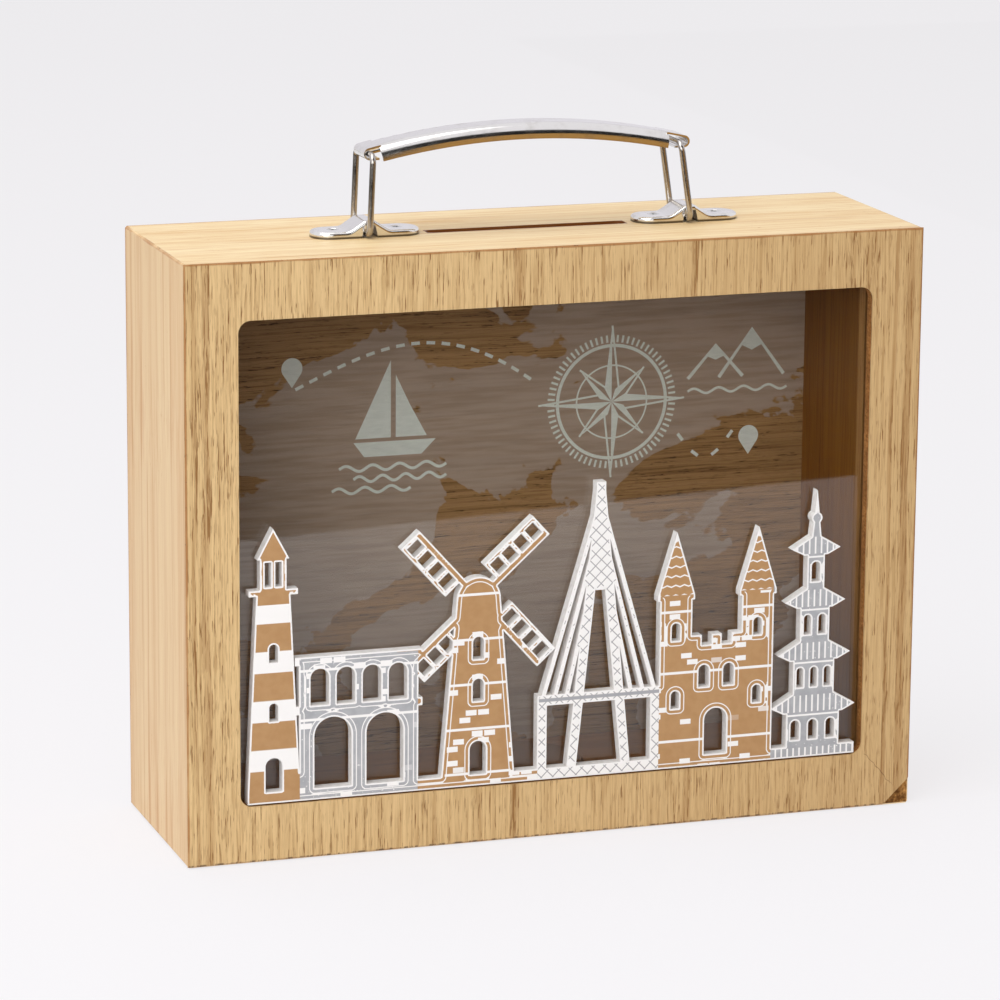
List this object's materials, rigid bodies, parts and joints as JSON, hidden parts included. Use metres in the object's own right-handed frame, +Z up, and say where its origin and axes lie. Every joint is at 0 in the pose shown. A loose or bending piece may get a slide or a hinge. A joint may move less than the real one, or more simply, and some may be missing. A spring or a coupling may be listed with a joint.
{
  "type": "money box",
  "caption": "Small suitcase-shaped wooden money box with a framed window, a cut-out skyline behind the frame, a coin slot in its top and a folding metal carrying handle.",
  "frame": {"origin": "middle of the underside, on the surface that the box stands on", "axes": "+X to the right along the box, +Y to the back, +Z up; the window looks along -Y"},
  "size_m": [0.2, 0.06, 0.1851],
  "materials": {
    "pale_veneered_board": "pale oak veneer, satin, worn along the edges",
    "fibreboard": "raw brown fibreboard",
    "front_veneer": "oak veneer with upright grain, satin",
    "clear_pane": "clear acrylic sheet, glossy",
    "bead_wood": "plain wood, unpainted",
    "back_wood": "veneered panel, its inner face printed in grey ink",
    "screw_metal": "zinc-plated steel",
    "stopper_rubber": "matt brown rubber",
    "bright_handle_metal": "bright nickel plate, lightly worn",
    "printed_cutout": "white-painted plate printed in flat gold and silver"
  },
  "bodies": {
    "box": {"top_board": "pale_veneered_board", "base_board": "pale_veneered_board", "left_side_board": "pale_veneered_board", "right_side_board": "pale_veneered_board", "front_frame_core": "fibreboard", "front_veneer": "front_veneer", "window_pane": "clear_pane", "pane_bead_top": "bead_wood", "pane_bead_bottom": "bead_wood", "pane_bead_left": "bead_wood", "pane_bead_right": "bead_wood", "back_panel": "back_wood", "back_panel_screws": "screw_metal", "skyline_cutout": "printed_cutout", "handle_foot_left": "bright_handle_metal", "handle_foot_right": "bright_handle_metal", "handle_foot_screws": "screw_metal"},
    "loop_left": {"handle_loop_left": "bright_handle_metal"},
    "loop_right": {"handle_loop_right": "bright_handle_metal"},
    "grip": {"handle_grip": "bright_handle_metal"},
    "stopper": {"emptying_stopper": "stopper_rubber"}
  },
  "joints": [
    {"name": "loop_left_swing", "type": "hinge", "parent": "box", "child": "loop_left", "pos_m": [-0.0447, 0, 0.15815], "axis": [0, 1, 0], "range_deg": [-50, 50]},
    {"name": "loop_right_swing", "type": "hinge", "parent": "box", "child": "loop_right", "pos_m": [0.0432, 0, 0.15815], "axis": [0, 1, 0], "range_deg": [-50.5, 50.5]},
    {"name": "grip_tilt", "type": "hinge", "parent": "loop_left", "child": "grip", "pos_m": [-0.04388, 0, 0.17863], "axis": [0, 1, 0], "range_deg": [-52.5, 52.5]},
    {"name": "stopper_pull", "type": "slide", "parent": "box", "child": "stopper", "axis": [0, 0, -1], "range_m": [0, 0.025]}
  ],
  "couplings": [
    {"joint": "loop_right_swing", "follows": "loop_left_swing", "ratio": 1.005},
    {"joint": "grip_tilt", "follows": "loop_left_swing", "ratio": -1.041}
  ]
}
